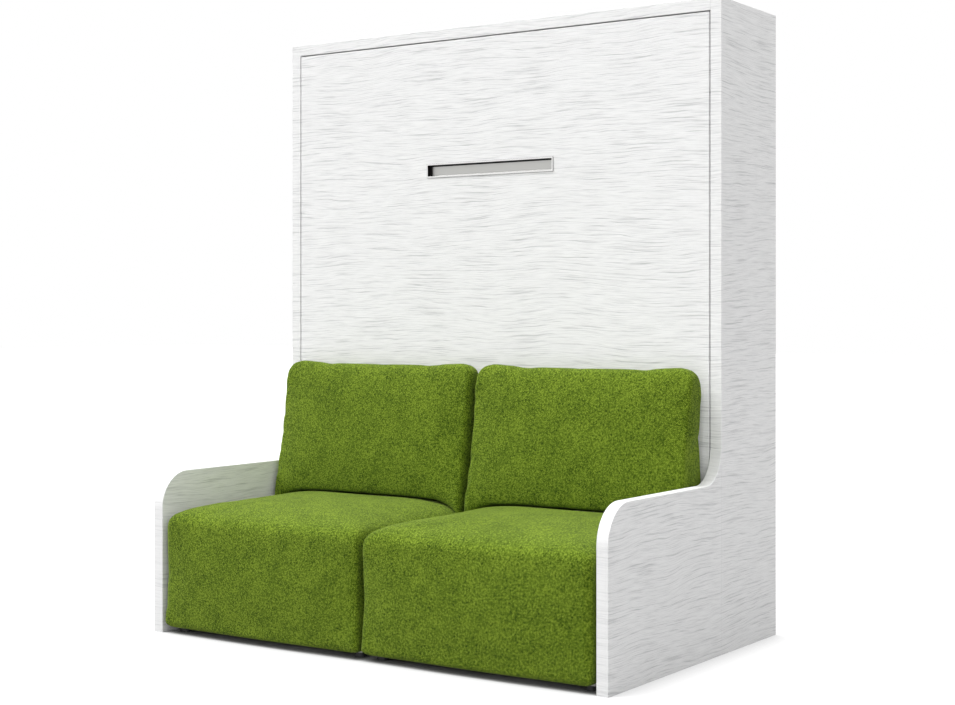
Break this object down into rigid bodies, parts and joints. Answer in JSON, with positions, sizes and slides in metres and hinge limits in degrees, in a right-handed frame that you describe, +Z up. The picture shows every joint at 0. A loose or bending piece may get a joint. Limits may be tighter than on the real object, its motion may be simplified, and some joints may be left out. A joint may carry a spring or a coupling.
{
  "type": "wall bed with sofa",
  "caption": "Wall bed in a white cabinet: its front panel folds down over a green upholstered sofa that stands between side arms.",
  "frame": {"origin": "centre of the bounding box on the floor", "axes": "+Z up, +Y towards the wall, +X to the right of someone who looks at the front"},
  "size_m": [1.84, 1.1809, 2.16],
  "materials": {
    "white_ash": "satin",
    "inner_board": "matte",
    "back_board": "matte",
    "white_plastic": "satin",
    "green_fabric": "woven",
    "handle_steel": "brushed",
    "frame_steel": "satin",
    "zinc_steel": "satin",
    "rubber": "matte",
    "dowel_wood": "matte",
    "slat_wood": "satin",
    "black_plastic": "matte",
    "mattress_fabric": "knitted",
    "strut_black": "gloss",
    "strut_chrome": "polished"
  },
  "bodies": {
    "root": {"left_side": "white_ash", "right_side": "white_ash", "top_board": "white_ash", "wall_rail": "inner_board", "base_rail": "inner_board", "left_back_panel": "back_board", "right_back_panel": "back_board", "back_joint_strip": "white_plastic", "case_dowels": "dowel_wood", "left_pivot_plate": "zinc_steel", "right_pivot_plate": "zinc_steel", "pivot_plate_screws": "zinc_steel", "pivot_retainers": "zinc_steel", "left_strut_anchor": "zinc_steel", "right_strut_anchor": "zinc_steel", "left_closing_stop": "zinc_steel", "right_closing_stop": "zinc_steel", "closing_buffers": "rubber", "left_arm_panel": "white_ash", "right_arm_panel": "white_ash", "arm_dowels": "dowel_wood", "sofa_bolts": "zinc_steel", "left_seat_frame": "inner_board", "right_seat_frame": "inner_board", "left_seat_deck": "inner_board", "right_seat_deck": "inner_board", "left_seat_glides": "black_plastic", "right_seat_glides": "black_plastic", "left_seat_upholstery": "green_fabric", "right_seat_upholstery": "green_fabric"},
    "bed": {"front_panel": "white_ash", "handle_cup": "handle_steel", "left_side_rail": "frame_steel", "right_side_rail": "frame_steel", "foot_rail": "frame_steel", "head_rail": "frame_steel", "centre_rail": "frame_steel", "left_slats": "slat_wood", "right_slats": "slat_wood", "slat_holders": "black_plastic", "mattress": "mattress_fabric", "left_pivot_bracket": "frame_steel", "right_pivot_bracket": "frame_steel", "left_pivot_bush": "black_plastic", "right_pivot_bush": "black_plastic", "left_strut_stud": "frame_steel", "right_strut_stud": "frame_steel", "panel_brackets": "frame_steel", "panel_screws": "zinc_steel", "leg_pivot_bolts": "zinc_steel"},
    "leg_hoop": {"left_leg": "frame_steel", "right_leg": "frame_steel", "leg_crossbar": "frame_steel", "leg_pads": "rubber"},
    "left_cylinder": {"left_strut_cylinder": "strut_black"},
    "right_cylinder": {"right_strut_cylinder": "strut_black"},
    "left_rod": {"left_strut_rod": "strut_chrome"},
    "right_rod": {"right_strut_rod": "strut_chrome"},
    "left_back_cushion": {"left_back_cushion": "green_fabric"},
    "right_back_cushion": {"right_back_cushion": "green_fabric"}
  },
  "joints": [
    {"name": "bed_fold", "type": "hinge", "parent": "root", "child": "bed", "pos_m": [0, 0.2055, 0.51], "axis": [1, 0, 0], "range_deg": [0, 90]},
    {"name": "leg_swing", "type": "hinge", "parent": "bed", "child": "leg_hoop", "pos_m": [0, 0.2275, 2.09], "axis": [1, 0, 0], "range_deg": [0, 244.67]},
    {"name": "left_strut_swing", "type": "hinge", "parent": "root", "child": "left_cylinder", "pos_m": [-0.864, 0.3325, 0.8], "axis": [1, 0, 0], "range_deg": [0, 17.62]},
    {"name": "left_strut_slide", "type": "slide", "parent": "left_cylinder", "child": "left_rod", "axis": [0, 0.2759, 0.9612], "range_m": [0, 0.15706]},
    {"name": "left_cushion_lift", "type": "hinge", "parent": "root", "child": "left_back_cushion", "pos_m": [0, -0.82047, -0.61054], "axis": [1, 0, 0], "range_deg": [0, 99.91]},
    {"name": "right_strut_swing", "type": "hinge", "parent": "root", "child": "right_cylinder", "pos_m": [0.864, 0.3325, 0.8], "axis": [1, 0, 0], "range_deg": [0, 17.62]},
    {"name": "right_strut_slide", "type": "slide", "parent": "right_cylinder", "child": "right_rod", "axis": [0, 0.2759, 0.9612], "range_m": [0, 0.15706]},
    {"name": "right_cushion_lift", "type": "hinge", "parent": "root", "child": "right_back_cushion", "pos_m": [0, -0.82047, -0.61054], "axis": [1, 0, 0], "range_deg": [0, 99.91]}
  ],
  "couplings": [
    {"joint": "leg_swing", "follows": "bed_fold", "ratio": 2.7186},
    {"joint": "left_strut_swing", "follows": "bed_fold", "ratio": 0.19583},
    {"joint": "left_strut_slide", "follows": "bed_fold", "m_per_rad": 0.099982},
    {"joint": "left_cushion_lift", "follows": "bed_fold", "ratio": 1.1101},
    {"joint": "right_strut_swing", "follows": "bed_fold", "ratio": 0.19583},
    {"joint": "right_strut_slide", "follows": "bed_fold", "m_per_rad": 0.099982},
    {"joint": "right_cushion_lift", "follows": "bed_fold", "ratio": 1.1101}
  ]
}
